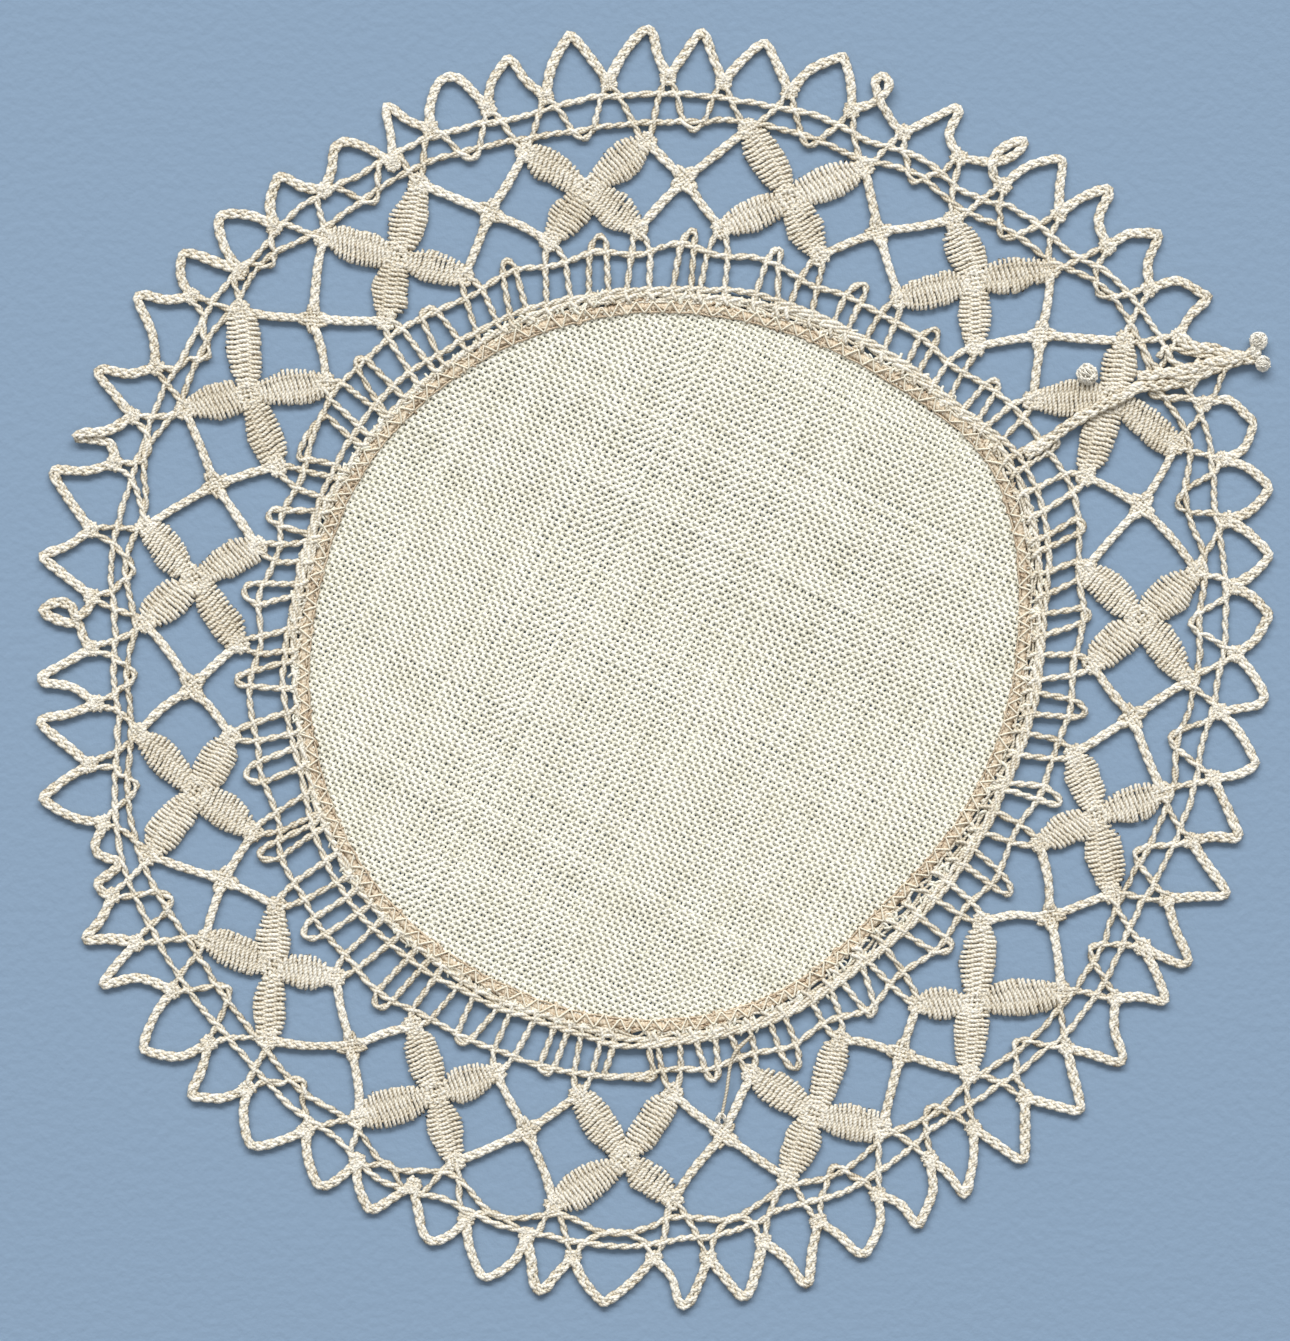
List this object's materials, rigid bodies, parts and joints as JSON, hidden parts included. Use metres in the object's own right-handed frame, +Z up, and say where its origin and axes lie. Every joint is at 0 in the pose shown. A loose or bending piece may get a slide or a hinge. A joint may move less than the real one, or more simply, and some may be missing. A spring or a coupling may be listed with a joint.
{
  "type": "round lace-edged linen placemat",
  "caption": "Small round linen mat with a wide openwork bobbin-lace edging, lying flat.",
  "frame": {"origin": "middle of the linen disc, on the flat underside", "axes": "+Z up out of the cloth's face, +Y towards the top of the picture, +X to its right"},
  "size_m": [0.1487, 0.1542, 0.0015],
  "materials": {
    "linen_cloth": "matt plain-weave linen, unbleached white",
    "lace_thread": "matt ecru linen thread",
    "seam_thread": "soft cream sewing thread"
  },
  "bodies": {
    "root": {"linen_centre": "linen_cloth", "lace_border": "lace_thread"}
  },
  "joints": []
}
